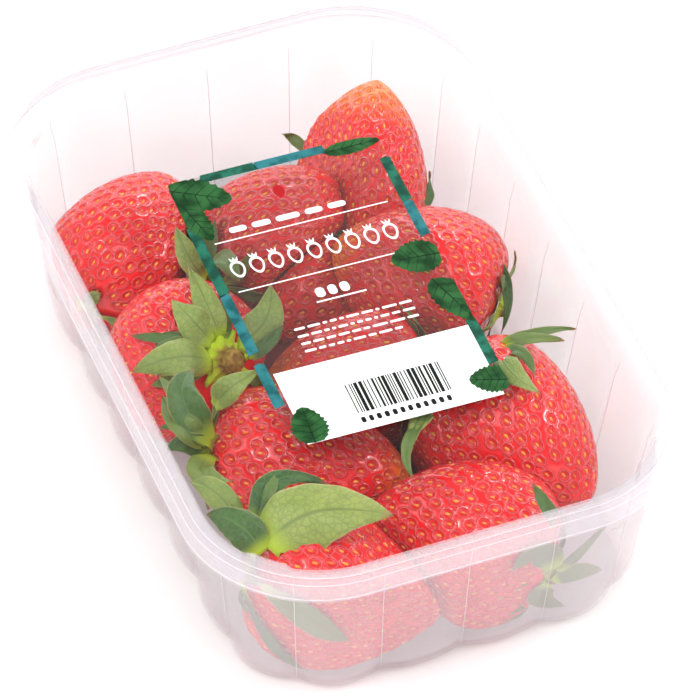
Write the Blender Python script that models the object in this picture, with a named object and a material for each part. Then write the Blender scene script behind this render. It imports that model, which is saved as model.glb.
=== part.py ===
"""A sealed punnet of strawberries: a moulded tray with a flanged rim and fluted walls,
the heap of berries it holds, the clear film sealed on its flange, and a printed label.

Metres, +Z up.  X runs across the tray, Y along it; it stands on its base at the origin.
"""
from math import cos, hypot, pi, radians, sin

import bmesh
import bpy
from mathutils import Matrix, Vector

# The tray's rim, seen from above, and its height
LENGTH = 0.147
WIDTH = 0.097
TRAY_HEIGHT = 0.038
RIM_RADIUS = 0.0262
WALL = 0.0005

# The walls: rows of flutes that bulge outwards between creases
FLUTES = 24
POINTS_PER_FLUTE = 4
FLUTE_BULGE = 0.0017

# The rim: a flat flange with a skirt hanging from its outer edge
FLANGE = 0.0036
SKIRT_DROP = 0.0044

# The film and the label lie on the flange with a hairline gap
GAP = 0.0003
FILM = 0.0003
LABEL = 0.0002
FILM_INSET = 0.0005
LABEL_SIZE = (0.0430, 0.0740)
LABEL_CENTRE = (-0.0008, -0.0030)
LABEL_TURN = -1.5

# The heap keeps clear of the tray by this much, and stands on a low core
CLEARANCE = 0.0006
CORE_INSET = 0.0200
CORE_HEIGHT = 0.0130
BERRY_RINGS = 10
BERRY_SIDES = 18
SHOULDER = 0.36

# Sections through the tray's upper face, from the skirt's edge to the middle of the floor:
# distance in from the rim, height, corner radius, share of the flute bulge
TRAY_SECTIONS = (
    (-0.0003, TRAY_HEIGHT - SKIRT_DROP, 0.0265, 0.0),
    (0.0001, TRAY_HEIGHT - 0.0009, 0.0262, 0.0),
    (0.0009, TRAY_HEIGHT, 0.0256, 0.0),
    (FLANGE, TRAY_HEIGHT, 0.0226, 0.0),
    (0.0042, TRAY_HEIGHT - 0.0010, 0.0220, 0.0),
    (0.0050, TRAY_HEIGHT - 0.0060, 0.0214, 0.0),
    (0.0056, TRAY_HEIGHT - 0.0090, 0.0210, 0.7),
    (0.0084, 0.0060, 0.0192, 1.0),
    (0.0094, 0.0022, 0.0184, 1.0),
    (0.0116, WALL, 0.0170, 0.8),
    (0.0170, WALL, 0.0140, 0.0),
)

# Each berry: middle (x, y, z) in millimetres, compass turn and rise of its tip in degrees,
# length and width in millimetres
BERRIES = {
    "back_left": ((-26.5, 42.5, 17.0), 40, 12, 36, 30),
    "back_right": ((23.5, 43.5, 18.5), 60, 34, 38, 29),
    "upper_middle": ((1.5, 35.0, 18.0), 24, 12, 34, 28),
    "sunken": ((3.0, 20.5, 11.5), 190, -8, 26, 22),
    "right": ((22.0, 12.0, 19.0), 140, 9, 36, 31),
    "middle": ((-0.5, -7.5, 17.0), 165, 4, 32, 28),
    "left": ((-28.0, 9.5, 17.0), 112, -37, 33, 32),
    "lower_left": ((-15.5, -25.5, 18.0), -32, 0, 40, 29),
    "lower_right": ((23.5, -34.0, 19.0), -66, -8, 39, 34),
    "front_right": ((4.5, -54.5, 17.5), 142, 15, 37, 31),
    "front_left": ((-20.5, -57.5, 16.5), -36, -14, 39, 32),
}


def material(name, colour, roughness, alpha=1.0):
    """A plain Principled material."""
    mat = bpy.data.materials.new(name)
    mat.use_nodes = True
    shader = mat.node_tree.nodes["Principled BSDF"]
    shader.inputs["Base Color"].default_value = (*colour, 1.0)
    shader.inputs["Roughness"].default_value = roughness
    shader.inputs["Metallic"].default_value = 0.0
    shader.inputs["Alpha"].default_value = alpha
    return mat


def add_object(name, bm, mat):
    """Link a finished bmesh to the scene as one named object."""
    bmesh.ops.recalc_face_normals(bm, faces=bm.faces)
    mesh = bpy.data.meshes.new(name)
    bm.to_mesh(mesh)
    bm.free()
    mesh.materials.append(mat)
    obj = bpy.data.objects.new(name, mesh)
    bpy.context.scene.collection.objects.link(obj)
    return obj


def rounded_point(share, inset, radius, bulge):
    """The point a given share of the way round a rounded rectangle inset from the rim.

    Each quarter runs from the middle of a short side to the middle of a long side.
    """
    quarter = min(int(share * 4), 3)
    along = share * 4 - quarter
    if quarter % 2:
        along = 1 - along
    half_x = WIDTH / 2 - inset
    half_y = LENGTH / 2 - inset
    flat_x = half_x - radius
    flat_y = half_y - radius
    arc = radius * pi / 2
    run = along * (flat_x + arc + flat_y)
    if run < flat_x:
        x, y, nx, ny = run, half_y, 0.0, 1.0
    elif run < flat_x + arc:
        turn = (run - flat_x) / radius
        nx, ny = sin(turn), cos(turn)
        x, y = flat_x + radius * nx, flat_y + radius * ny
    else:
        x, y, nx, ny = half_x, half_y - (run - flat_x - arc) - radius, 1.0, 0.0
    side_x = 1 if quarter in (0, 1) else -1
    side_y = -1 if quarter in (0, 3) else 1
    return side_x * (x + bulge * nx), side_y * (y + bulge * ny)


def tray_ring(bm, inset, height, radius, bulge_share):
    """One ring of tray vertices, with the flutes swelling out between their creases."""
    count = FLUTES * POINTS_PER_FLUTE
    ring = []
    for i in range(count):
        swell = FLUTE_BULGE * bulge_share * abs(sin(pi * i / POINTS_PER_FLUTE))
        x, y = rounded_point(i / count, inset, radius, swell)
        ring.append(bm.verts.new((x, y, height)))
    return ring


def bridge(bm, lower, upper):
    """Quads between two rings with the same number of points."""
    count = len(lower)
    for i in range(count):
        j = (i + 1) % count
        bm.faces.new((lower[i], lower[j], upper[j], upper[i]))


def under_section(sections, i):
    """The section on the tray's lower face that backs section i, one wall away from it."""
    inset, height, radius, share = sections[i]
    before = sections[max(i - 1, 0)]
    after = sections[min(i + 1, len(sections) - 1)]
    run = Vector((after[0] - before[0], after[1] - before[1])).normalized()
    return (inset + WALL * run.y, height - WALL * run.x, radius - WALL * run.y, share)


def tray(mat):
    """The thin moulded tray, one closed shell from skirt to floor and back underneath."""
    bm = bmesh.new()
    count = len(TRAY_SECTIONS)
    upper = [tray_ring(bm, *section) for section in TRAY_SECTIONS]
    lower = [tray_ring(bm, *under_section(TRAY_SECTIONS, i)) for i in range(count)]
    for rings in (upper, lower):
        for first, second in zip(rings, rings[1:]):
            bridge(bm, first, second)
        bm.faces.new(rings[-1])
    bridge(bm, upper[0], lower[0])
    for vert in lower[-1] + lower[-2]:
        vert.co.z = 0.0
    return add_object("tray", bm, mat)


def inner_section(height):
    """Inset and corner radius of the tray's inner wall at a height, between flutes."""
    walls = TRAY_SECTIONS[4:10]
    for upper, lower in zip(walls, walls[1:]):
        if height >= lower[1]:
            part = min(max((height - lower[1]) / (upper[1] - lower[1]), 0.0), 1.0)
            return (lower[0] + part * (upper[0] - lower[0]),
                    lower[2] + part * (upper[2] - lower[2]))
    return walls[-1][0], walls[-1][2]


def keep_inside(point):
    """Press a point of a berry back inside the walls, the floor and the film."""
    z = min(max(point.z, WALL + CLEARANCE), TRAY_HEIGHT - CLEARANCE)
    inset, radius = inner_section(z)
    inset += CLEARANCE
    over_x = abs(point.x) - (WIDTH / 2 - inset - radius)
    over_y = abs(point.y) - (LENGTH / 2 - inset - radius)
    push_x = push_y = 0.0
    if over_x > 0 and over_y > 0:
        reach = hypot(over_x, over_y)
        if reach > radius:
            push_x = over_x * (1 - radius / reach)
            push_y = over_y * (1 - radius / reach)
    else:
        push_x = max(over_x - radius, 0.0)
        push_y = max(over_y - radius, 0.0)
    x = point.x - (push_x if point.x > 0 else -push_x)
    y = point.y - (push_y if point.y > 0 else -push_y)
    return Vector((x, y, z))


def berry_radius(share):
    """A strawberry's radius along its axis: round shoulders, then a cone to a blunt tip."""
    if share < SHOULDER:
        return (1 - ((SHOULDER - share) / SHOULDER) ** 2.4) ** 0.5
    return (1 - ((share - SHOULDER) / (1 - SHOULDER)) ** 1.9) ** 0.72


def berry(middle, turn, rise, length, width, mat):
    """One closed strawberry outline, pressed inside the tray."""
    axis = Vector((cos(radians(turn)) * cos(radians(rise)),
                   sin(radians(turn)) * cos(radians(rise)), sin(radians(rise))))
    place = Matrix.Translation(Vector(middle) / 1000) @ axis.to_track_quat("Z", "Y").to_matrix().to_4x4()
    bm = bmesh.new()
    rings = []
    for i in range(1, BERRY_RINGS):
        share = (1 - cos(pi * i / BERRY_RINGS)) / 2
        radius = width / 2000 * berry_radius(share)
        ring = []
        for j in range(BERRY_SIDES):
            angle = 2 * pi * j / BERRY_SIDES
            at = Vector((radius * cos(angle), radius * sin(angle), (share - 0.5) * length / 1000))
            ring.append(bm.verts.new(keep_inside(place @ at)))
        rings.append(ring)
    for first, second in zip(rings, rings[1:]):
        bridge(bm, first, second)
    for ring, end in ((rings[0], -0.5), (rings[-1], 0.5)):
        pole = bm.verts.new(keep_inside(place @ Vector((0, 0, end * length / 1000))))
        for i in range(BERRY_SIDES):
            bm.faces.new((ring[i], ring[(i + 1) % BERRY_SIDES], pole))
    return add_object("guide_berry", bm, mat)


def plate(name, outline, low, high, mat):
    """A flat plate: an outline of (x, y) points extruded between two heights."""
    bm = bmesh.new()
    face = bm.faces.new([bm.verts.new((x, y, low)) for x, y in outline])
    extruded = bmesh.ops.extrude_face_region(bm, geom=[face])
    top = [item for item in extruded["geom"] if isinstance(item, bmesh.types.BMVert)]
    bmesh.ops.translate(bm, verts=top, vec=(0, 0, high - low))
    return add_object(name, bm, mat)


def rounded_outline(inset, radius, count):
    """A rounded rectangle inset from the rim, as (x, y) points."""
    return [rounded_point(i / count, inset, radius, 0.0) for i in range(count)]


def heap(mat):
    """The berries as one solid: a low core with every berry joined to it."""
    core = plate("berries", rounded_outline(CORE_INSET, 0.010, 32), 0.003, CORE_HEIGHT, mat)
    for middle, turn, rise, length, width in BERRIES.values():
        guide = berry(middle, turn, rise, length, width, mat)
        guide.hide_render = True
        guide.display_type = "WIRE"
        union = core.modifiers.new("join", "BOOLEAN")
        union.operation = "UNION"
        union.solver = "EXACT"
        union.object = guide
    return core


def film(mat):
    """The clear film sealed along the flange."""
    low = TRAY_HEIGHT + GAP
    return plate("film", rounded_outline(FILM_INSET, RIM_RADIUS, 96), low, low + FILM, mat)


def label(mat):
    """The printed label, a plain rectangle lying on the film."""
    low = TRAY_HEIGHT + GAP + FILM + GAP
    half_x, half_y = LABEL_SIZE[0] / 2, LABEL_SIZE[1] / 2
    turn = Matrix.Rotation(radians(LABEL_TURN), 2)
    corners = ((-half_x, -half_y), (half_x, -half_y), (half_x, half_y), (-half_x, half_y))
    outline = [turn @ Vector(corner) + Vector(LABEL_CENTRE) for corner in corners]
    return plate("label", outline, low, low + LABEL, mat)


def main():
    """Clear the scene and build the punnet."""
    for obj in list(bpy.data.objects):
        bpy.data.objects.remove(obj, do_unlink=True)
    tray(material("frosted_plastic", (0.92, 0.92, 0.91), 0.30, 0.45))
    heap(material("berry_flesh", (0.75, 0.03, 0.03), 0.35))
    film(material("clear_film", (0.95, 0.95, 0.96), 0.10, 0.15))
    label(material("label_print", (0.30, 0.55, 0.52), 0.40, 0.6))


main()
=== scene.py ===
"""The looks of the strawberry punnet: real berries, a frosted tray, film and a plain label.

Metres, +Z up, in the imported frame.  Lengths written as N * MM are in millimetres.
"""
import random
from math import cos, pi, radians, sin

import bpy
import numpy as np
from mathutils import Matrix, Vector, kdtree


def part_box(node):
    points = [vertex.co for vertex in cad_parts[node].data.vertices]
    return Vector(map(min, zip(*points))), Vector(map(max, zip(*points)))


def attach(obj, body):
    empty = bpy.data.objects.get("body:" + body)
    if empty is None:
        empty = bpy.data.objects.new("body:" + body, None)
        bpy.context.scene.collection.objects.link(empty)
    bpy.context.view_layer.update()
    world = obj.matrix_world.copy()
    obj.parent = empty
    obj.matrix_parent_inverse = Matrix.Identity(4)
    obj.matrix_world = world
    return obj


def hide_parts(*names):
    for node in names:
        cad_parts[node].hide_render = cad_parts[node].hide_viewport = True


MM = 0.001
GOLDEN_ANGLE = pi * (3 - 5 ** 0.5)

# ---------------------------------------------------------------- the frame
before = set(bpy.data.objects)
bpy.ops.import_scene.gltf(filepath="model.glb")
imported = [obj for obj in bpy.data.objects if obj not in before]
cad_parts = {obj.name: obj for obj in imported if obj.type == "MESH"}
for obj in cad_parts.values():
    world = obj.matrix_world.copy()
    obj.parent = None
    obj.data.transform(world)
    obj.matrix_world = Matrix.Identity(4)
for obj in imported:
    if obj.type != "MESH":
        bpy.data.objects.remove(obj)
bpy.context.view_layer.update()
tray_low, tray_high = (np.array(corner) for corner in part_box("tray"))
label_low, label_high = (np.array(corner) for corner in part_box("label"))
film_low = np.array(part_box("film")[0])

# The rim is measured where the skirt flares out by 0.3 mm on each side
SKIRT_FLARE = 0.3 * MM
HALF_X = (tray_high[0] - tray_low[0]) / 2 - SKIRT_FLARE
HALF_Y = (tray_high[1] - tray_low[1]) / 2 - SKIRT_FLARE
TRAY_TOP = tray_high[2]
WALL = 0.5 * MM
FLUTES = 24
POINTS_PER_FLUTE = 24
FLUTE_BULGE = 1.7 * MM
FLUTE_ROUNDING = 0.8

# Sections through the tray's upper face, from the skirt's edge to the middle of the floor:
# distance in from the rim, height, corner radius (mm), share of the flute bulge.
# The rim's heights are from the top of the tray, the wall's from the ground.
RIM_SECTIONS = (
    (-0.30, -4.40, 26.5, 0.0),
    (-0.25, -4.00, 26.5, 0.0),
    (0.00, -2.60, 26.2, 0.0),
    (0.02, -1.30, 26.2, 0.0),
    (0.25, -0.65, 26.0, 0.0),
    (0.60, -0.52, 25.8, 0.0),
    (1.55, -0.55, 25.1, 0.0),
    (1.72, -0.06, 24.9, 0.0),
    (1.95, 0.00, 24.7, 0.0),
    (3.30, 0.00, 23.0, 0.0),
    (3.70, -0.10, 22.6, 0.0),
    (4.00, -0.45, 22.3, 0.0),
    (4.20, -1.00, 22.0, 0.0),
    (4.70, -4.20, 21.6, 0.0),
    (4.90, -5.60, 21.4, 0.1),
    (5.20, -7.60, 21.2, 0.5),
    (5.70, -9.60, 21.0, 0.8),
)
WALL_SECTIONS = (
    (6.90, 18.0, 20.2, 0.95),
    (8.40, 6.0, 19.2, 1.0),
    (8.80, 3.6, 18.8, 1.0),
    (9.40, 2.0, 18.4, 1.0),
    (10.40, 1.0, 17.8, 0.95),
    (11.60, 0.5, 17.0, 0.8),
    (14.00, 0.5, 15.6, 0.3),
    (17.00, 0.5, 14.0, 0.0),
)
TRAY_SECTIONS = tuple(
    (inset * MM, start + height * MM, radius * MM, share)
    for start, rows in ((TRAY_TOP, RIM_SECTIONS), (0.0, WALL_SECTIONS))
    for inset, height, radius, share in rows
)
# The part of it that the berries press against
INNER_WALL = TRAY_SECTIONS[12:23]
# The floor's last sections stand flat on the ground; the lugs step in at the throat
BASE_SECTIONS = 3
LUG_SECTIONS = range(10, 14)
LUG_DEPTH = 0.9 * MM
LUG_WIDTH = 10 * MM
SHARP_EDGE = radians(50)
# Beads on the rim: distance in from the rim, height, corner radius
RIM_BEADS = (
    (1.62 * MM, TRAY_TOP - 0.25 * MM, 25.0 * MM),
    (0.30 * MM, TRAY_TOP - 0.75 * MM, 26.0 * MM),
    (-0.12 * MM, TRAY_TOP - 4.10 * MM, 26.5 * MM),
)
BEAD_RADIUS = 0.08 * MM
BEAD_SIDES = 6
# Creases between flutes: the wall sections they run down, and their half width
CREASE_SECTIONS = slice(14, 22)
CREASE_RADIUS = 0.09 * MM

# ---------------------------------------------------------------- the berries
# Middle (x, y, z), compass turn and rise of the tip in degrees, length, width (mm),
# share of the length at the tip that is still pale
BERRIES = {
    "back_left": ((-26.5, 42.5, 17.0), 40, 12, 36, 30, 0.10),
    "back_right": ((23.5, 43.5, 18.5), 60, 34, 38, 29, 0.34),
    "upper_middle": ((1.5, 35.0, 18.0), 24, 12, 34, 28, 0.05),
    "sunken": ((3.0, 20.5, 11.5), 190, -8, 26, 22, 0.0),
    "right": ((22.0, 12.0, 19.0), 140, 9, 36, 31, 0.22),
    "middle": ((-0.5, -7.5, 17.0), 165, 4, 32, 28, 0.24),
    "left": ((-28.0, 9.5, 17.0), 112, -37, 33, 32, 0.0),
    "lower_left": ((-15.5, -25.5, 18.0), -32, 0, 40, 29, 0.16),
    "lower_right": ((23.5, -34.0, 19.0), -66, -8, 39, 34, 0.0),
    "front_right": ((4.5, -54.5, 17.5), 142, 15, 37, 31, 0.0),
    "front_left": ((-20.5, -57.5, 16.5), -36, -14, 39, 32, 0.0),
}
# Where a berry is widest, as a share of its length; rings and sides of its skin
SHOULDER = 0.36
RINGS = 100
SIDES = 208
# Skin area for each seed (mm2), and the pit round it: its depth, and its radius (mm)
SEED_CELL = 7.9
PIT_DEPTH = 0.44 * MM
PIT_RADIUS = 0.98
SEED_LENGTH = 1.20 * MM
SEED_WIDTH = 0.70 * MM
SEED_HEIGHT = 0.36 * MM
SEED_ROWS, SEED_COLUMNS = 4, 6
# How far seeds stray from their spiral, how deep they sit, and the pit's shape round them
SEED_JITTER = 0.22 * MM
SEED_SINK = 0.78
PIT_LENGTHWISE, PIT_CROSSWISE = 1.18, 0.95
CUSHION = 0.12 * MM
FAR_FROM_SEEDS = 3.0
# Waves round the skin: how many, and how strong as a share of the radius
LOBES = ((1, 0.035), (2, 0.05), (3, 0.03), (5, 0.012))
# Over what distance skin gives way to the tray and to a neighbour, and the gaps that are left
PRESS = 1.4 * MM
TOUCH = 0.7 * MM
BERRY_GAP = 0.10 * MM
FLESH_GAP = 0.6 * MM
SEPAL_GAP = 0.12 * MM
FILM_CLEARANCE = 0.45 * MM


# ---------------------------------------------------------------- small helpers
def unit(vectors):
    """Vectors scaled to length one, along the last axis."""
    return vectors / np.maximum(np.linalg.norm(vectors, axis=-1, keepdims=True), 1e-12)


def smoothstep(low, high, value):
    """0 below low, 1 above high, smooth between."""
    share = np.clip((value - low) / (high - low), 0.0, 1.0)
    return share * share * (3 - 2 * share)


def linear(red, green, blue):
    """An sRGB colour of 0..255 values as linear RGBA."""
    values = []
    for channel in (red, green, blue):
        share = channel / 255
        values.append(share / 12.92 if share <= 0.04045 else ((share + 0.055) / 1.055) ** 2.4)
    return (*values, 1.0)


def mesh_object(name, points, faces, mat, smooth=True):
    """A mesh object from points, faces as lists of point numbers, and a material."""
    mesh = bpy.data.meshes.new(name)
    corners = [tuple(int(i) for i in face) for face in faces]
    mesh.from_pydata([tuple(point) for point in points], [], corners)
    mesh.materials.append(mat)
    if smooth:
        mesh.shade_smooth()
    mesh.update()
    obj = bpy.data.objects.new(name, mesh)
    bpy.context.scene.collection.objects.link(obj)
    return obj


def float_attribute(obj, name, values):
    """Store one number for each vertex."""
    layer = obj.data.attributes.new(name, "FLOAT", "POINT")
    layer.data.foreach_set("value", np.asarray(values, np.float32).ravel())


def grid_faces(rows, columns):
    """Quads of a grid of points in row order, its last column joined to its first."""
    i, j = np.meshgrid(np.arange(rows - 1), np.arange(columns), indexing="ij")
    k = (j + 1) % columns
    return np.stack([i * columns + j, i * columns + k, (i + 1) * columns + k, (i + 1) * columns + j],
                    -1).reshape(-1, 4)


def tube_faces(rows, columns, base=0):
    """The quads of a closed tube of points in row order, and a face over each of its ends."""
    first = list(range(base, base + columns))
    last = list(range(base + (rows - 1) * columns, base + rows * columns))
    return (grid_faces(rows, columns) + base).tolist() + [first[::-1], last]


def circle(count):
    """Equal angles once round."""
    return np.arange(count) * 2 * pi / count


def at_height(plan, height):
    """Plan points (x, y) lifted to a height, or to one height each."""
    return np.column_stack([plan, np.broadcast_to(height, len(plan))])


def finish_piece(obj, slot, *nodes):
    """Tie a piece to the frame's root body and hide the CAD nodes it stands for; slot is not used."""
    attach(obj, "root")
    for node in nodes:
        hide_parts(node)
    return obj


# ---------------------------------------------------------------- material helpers
# The Mix node's sockets for colours: share, first, second; and its colour output
MIX_SOCKETS = (0, 6, 7)
MIX_RESULT = 2


class Nodes:
    """A short way to build one material's node tree around its Principled shader."""

    def __init__(self, name, **sockets):
        self.material = bpy.data.materials.new(name)
        self.material.use_nodes = True
        self.tree = self.material.node_tree
        self.shader = self.tree.nodes["Principled BSDF"]
        for socket, value in sockets.items():
            self.shader.inputs[socket.replace("_", " ")].default_value = value

    def add(self, kind, inputs=(), **settings):
        """A node with its settings and the values or links of its inputs."""
        node = self.tree.nodes.new(kind)
        for key, value in settings.items():
            setattr(node, key, value)
        for key, value in dict(inputs).items():
            if isinstance(value, bpy.types.NodeSocket):
                self.tree.links.new(value, node.inputs[key])
            else:
                node.inputs[key].default_value = value
        return node

    def attribute(self, name):
        """A named vertex value."""
        return self.add("ShaderNodeAttribute", attribute_name=name).outputs["Fac"]

    def noise(self, scale, detail=2.0, roughness=0.5):
        """Soft noise over the object, scale in features a metre."""
        coords = self.add("ShaderNodeTexCoord").outputs["Object"]
        inputs = {"Vector": coords, "Scale": scale, "Detail": detail, "Roughness": roughness}
        return self.add("ShaderNodeTexNoise", inputs).outputs["Fac"]

    def cells(self, scale):
        """Distance to the borders of an irregular net of cells, scale in cells a metre."""
        coords = self.add("ShaderNodeTexCoord").outputs["Object"]
        return self.add("ShaderNodeTexVoronoi", {"Vector": coords, "Scale": scale},
                        feature="DISTANCE_TO_EDGE").outputs["Distance"]

    def math(self, operation, first, second=0.0, clamp=False):
        """One arithmetic node."""
        return self.add("ShaderNodeMath", {0: first, 1: second}, operation=operation,
                        use_clamp=clamp).outputs[0]

    def times(self, first, second):
        """The product of two values."""
        return self.math("MULTIPLY", first, second)

    def ramp(self, value, low, high, out_low=0.0, out_high=1.0):
        """Map a value smoothly from one range to another."""
        inputs = {"Value": value, "From Min": low, "From Max": high, "To Min": out_low, "To Max": out_high}
        return self.add("ShaderNodeMapRange", inputs, interpolation_type="SMOOTHSTEP").outputs["Result"]

    def mix(self, share, first, second):
        """Mix two colours."""
        node = self.add("ShaderNodeMix", data_type="RGBA")
        sockets = [node.inputs[i] for i in MIX_SOCKETS]
        for socket, value in zip(sockets, (share, first, second)):
            if isinstance(value, bpy.types.NodeSocket):
                self.tree.links.new(value, socket)
            else:
                socket.default_value = value
        return node.outputs[MIX_RESULT]

    def link(self, output, socket):
        """Feed one input of the shader."""
        self.tree.links.new(output, self.shader.inputs[socket])

    def drift(self, scale, first, second):
        """Base colour that wanders softly between two colours."""
        self.link(self.mix(self.noise(scale), first, second), "Base Color")

    def bump(self, height, strength, distance):
        """Feed the shader's normal from a height."""
        inputs = {"Height": height, "Strength": strength, "Distance": distance}
        self.link(self.add("ShaderNodeBump", inputs).outputs["Normal"], "Normal")


# ---------------------------------------------------------------- materials
def flesh_material():
    """Glossy red flesh: darker red in the pits as painted shade, a pale pink lip round each as a painted
    highlight, unripe tips.
    """
    nodes = Nodes("strawberry_flesh", Subsurface_Weight=0.10, Subsurface_Scale=0.0015,
                  Subsurface_Radius=(1.0, 0.3, 0.2), Coat_Weight=0.35, Coat_Roughness=0.07)
    pit = nodes.attribute("pit")
    unripe = nodes.attribute("unripe")
    patch = nodes.ramp(nodes.noise(90.0), 0.35, 0.7)
    red = nodes.mix(patch, linear(240, 2, 14), linear(250, 14, 22))
    orange = nodes.mix(unripe, red, linear(252, 150, 16))
    # Darker red in the middle of each pit: painted shade where the skin dips round a seed
    pit_shade = nodes.mix(0.5, orange, linear(196, 4, 12))
    lip = nodes.times(nodes.ramp(pit, 0.85, 1.02), nodes.ramp(pit, 1.06, 1.36, 1.0, 0.0))
    # The pale pink mixed onto each pit's lip is a painted highlight; the lip's bump below is real relief
    pale = nodes.mix(nodes.times(lip, 0.40), orange, linear(255, 125, 130))
    nodes.link(nodes.mix(nodes.ramp(pit, 0.5, 0.92), pit_shade, pale), "Base Color")
    nodes.link(nodes.ramp(pit, 0.6, 1.15, 0.40, 0.20), "Roughness")
    nodes.bump(lip, 1.0, 0.00035)
    return nodes.material


def seed_material():
    """Golden seeds, from orange to pale gold."""
    nodes = Nodes("strawberry_seed", Roughness=0.32)
    tone = nodes.attribute("tone")
    gold = nodes.mix(nodes.ramp(tone, 0.0, 1.0), linear(234, 112, 34), linear(255, 176, 70))
    nodes.link(gold, "Base Color")
    return nodes.material


def leaf_material():
    """Sepals: tone 0 is dark, 1 pale; veins fan from the midrib over a fine net; green-gold roots."""
    nodes = Nodes("strawberry_sepal", Roughness=0.45, Subsurface_Weight=0.1, Subsurface_Scale=0.001)
    along = nodes.attribute("along")
    across = nodes.attribute("across")
    tone = nodes.attribute("tone")
    side = nodes.math("ABSOLUTE", across)
    slant = nodes.math("SUBTRACT", nodes.times(along, 8.0), nodes.times(side, 2.6))
    wave = nodes.math("ABSOLUTE", nodes.math("SINE", nodes.times(slant, pi)))
    fine = nodes.times(nodes.ramp(wave, 0.0, 0.20, 1.0, 0.0), nodes.ramp(side, 0.95, 0.6))
    rib = nodes.ramp(side, 0.02, 0.09, 1.0, 0.0)
    net = nodes.ramp(nodes.cells(800.0), 0.0, 0.12, 0.6, 0.0)
    vein = nodes.math("MAXIMUM", nodes.math("MAXIMUM", nodes.times(fine, 0.75), rib), net)
    blade = nodes.mix(tone, linear(28, 76, 22), linear(152, 168, 80))
    mottled = nodes.mix(nodes.ramp(nodes.noise(260.0, 3.0), 0.3, 0.75, 0.0, 0.30), blade,
                        linear(84, 122, 46))
    line = nodes.mix(tone, linear(88, 130, 58), linear(88, 104, 46))
    veined = nodes.mix(nodes.times(vein, 0.62), mottled, line)
    edged = nodes.mix(nodes.ramp(side, 0.93, 1.0, 0.0, 0.5), veined, linear(206, 186, 130))
    rooted = nodes.mix(nodes.ramp(along, 0.02, 0.22, 0.9, 0.0), edged, linear(178, 204, 44))
    tipped = nodes.mix(nodes.ramp(along, 0.90, 1.0, 0.0, 0.7), rooted, linear(160, 104, 66))
    nodes.link(tipped, "Base Color")
    nodes.bump(vein, 0.35, 0.00015)
    return nodes.material


def stem_material():
    """The cut stem: brown and fibrous in its middle, yellow-green at its foot."""
    nodes = Nodes("strawberry_stem", Roughness=0.7)
    along = nodes.attribute("along")
    fibre = nodes.ramp(nodes.noise(900.0, 3.0), 0.3, 0.7)
    brown = nodes.mix(fibre, linear(120, 84, 20), linear(176, 140, 52))
    nodes.link(nodes.mix(nodes.ramp(along, 0.16, 0.50), linear(192, 216, 20), brown), "Base Color")
    nodes.bump(fibre, 0.5, 0.0002)
    return nodes.material


def core_material():
    """The red mass seen between the berries, darker than the flesh: painted shade down among them."""
    nodes = Nodes("berry_core", Roughness=0.5)
    # Dark red drift: painted shade of the flesh deep between the berries
    nodes.drift(200.0, linear(120, 14, 18), linear(160, 24, 28))
    return nodes.material


def tray_material():
    """Milky see-through plastic with faint flow streaks."""
    nodes = Nodes("frosted_tray", Roughness=0.14, Alpha=0.25)
    nodes.drift(60.0, linear(244, 234, 238), linear(230, 222, 228))
    return nodes.material


def thick_edge_highlight_material():
    """The same plastic where it is thick: less clear, and whiter, which is partly a painted highlight
    along the rim's edges and creases.
    """
    nodes = Nodes("tray_edge", Roughness=0.14, Alpha=0.5)
    # Near white: thicker plastic, and partly a painted highlight on the edges
    nodes.drift(60.0, linear(255, 250, 252), linear(246, 240, 244))
    return nodes.material


def film_material():
    """Clear glossy film."""
    nodes = Nodes("clear_film", Roughness=0.06, Alpha=0.02)
    nodes.drift(40.0, linear(170, 170, 172), linear(160, 160, 162))
    return nodes.material


def print_material(name, first, second, scale, alpha=1.0):
    """A printed field that drifts softly between two sRGB colours."""
    nodes = Nodes(name, Roughness=0.35, Alpha=alpha, Specular_IOR_Level=0.15)
    drift = nodes.ramp(nodes.noise(scale, 3.0), 0.35, 0.65)
    nodes.link(nodes.mix(drift, linear(*first), linear(*second)), "Base Color")
    return nodes.material


def floor_material():
    """The pale studio floor."""
    nodes = Nodes("studio_floor", Roughness=0.9)
    nodes.shader.inputs["Base Color"].default_value = (0.93, 0.93, 0.93, 1.0)
    nodes.shader.inputs["Specular IOR Level"].default_value = 0.0
    return nodes.material


# ---------------------------------------------------------------- the tray
def rounded_ring(count, inset, radius, bulge_share, lug=0.0):
    """Plan points (x, y) round a rounded rectangle inset from the rim.

    Each quarter runs from the middle of a short side to the middle of a long side, in equal
    steps; the flutes swell out between creases, and a small lug steps in at each corner.
    """
    half_x, half_y = HALF_X - inset, HALF_Y - inset
    flat_x, flat_y, arc = half_x - radius, half_y - radius, radius * pi / 2
    share = np.arange(count) / count * 4
    quarter = np.minimum(share.astype(int), 3)
    along = np.where(quarter % 2 == 1, 1 - (share - quarter), share - quarter)
    run = along * (flat_x + arc + flat_y)
    turn = np.clip((run - flat_x) / radius, 0, pi / 2)
    normal = np.stack([np.sin(turn), np.cos(turn)], -1)
    x = np.minimum(run, flat_x) + radius * normal[:, 0]
    y = flat_y + radius * normal[:, 1] - np.maximum(run - flat_x - arc, 0)
    wave = np.abs(np.sin(pi * np.arange(count) * FLUTES / count))
    swell = FLUTE_BULGE * bulge_share * wave ** FLUTE_ROUNDING
    from_corner = np.abs(run - flat_x - arc * 0.5)
    swell = swell - lug * smoothstep(LUG_WIDTH * 0.5, LUG_WIDTH * 0.32, from_corner)
    side = np.stack([np.where(quarter <= 1, 1, -1), np.where((quarter == 0) | (quarter == 3), -1, 1)], -1)
    return side * (np.stack([x, y], -1) + swell[:, None] * normal)


def shell_sections(sections):
    """The sections of the lower face, each one wall away from the upper face."""
    table = np.array(sections)
    run = unit(np.gradient(table[:, :2], axis=0))
    under = table.copy()
    under[:, 0] += WALL * run[:, 1]
    under[:, 1] -= WALL * run[:, 0]
    under[:, 2] -= WALL * run[:, 1]
    return under


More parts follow.
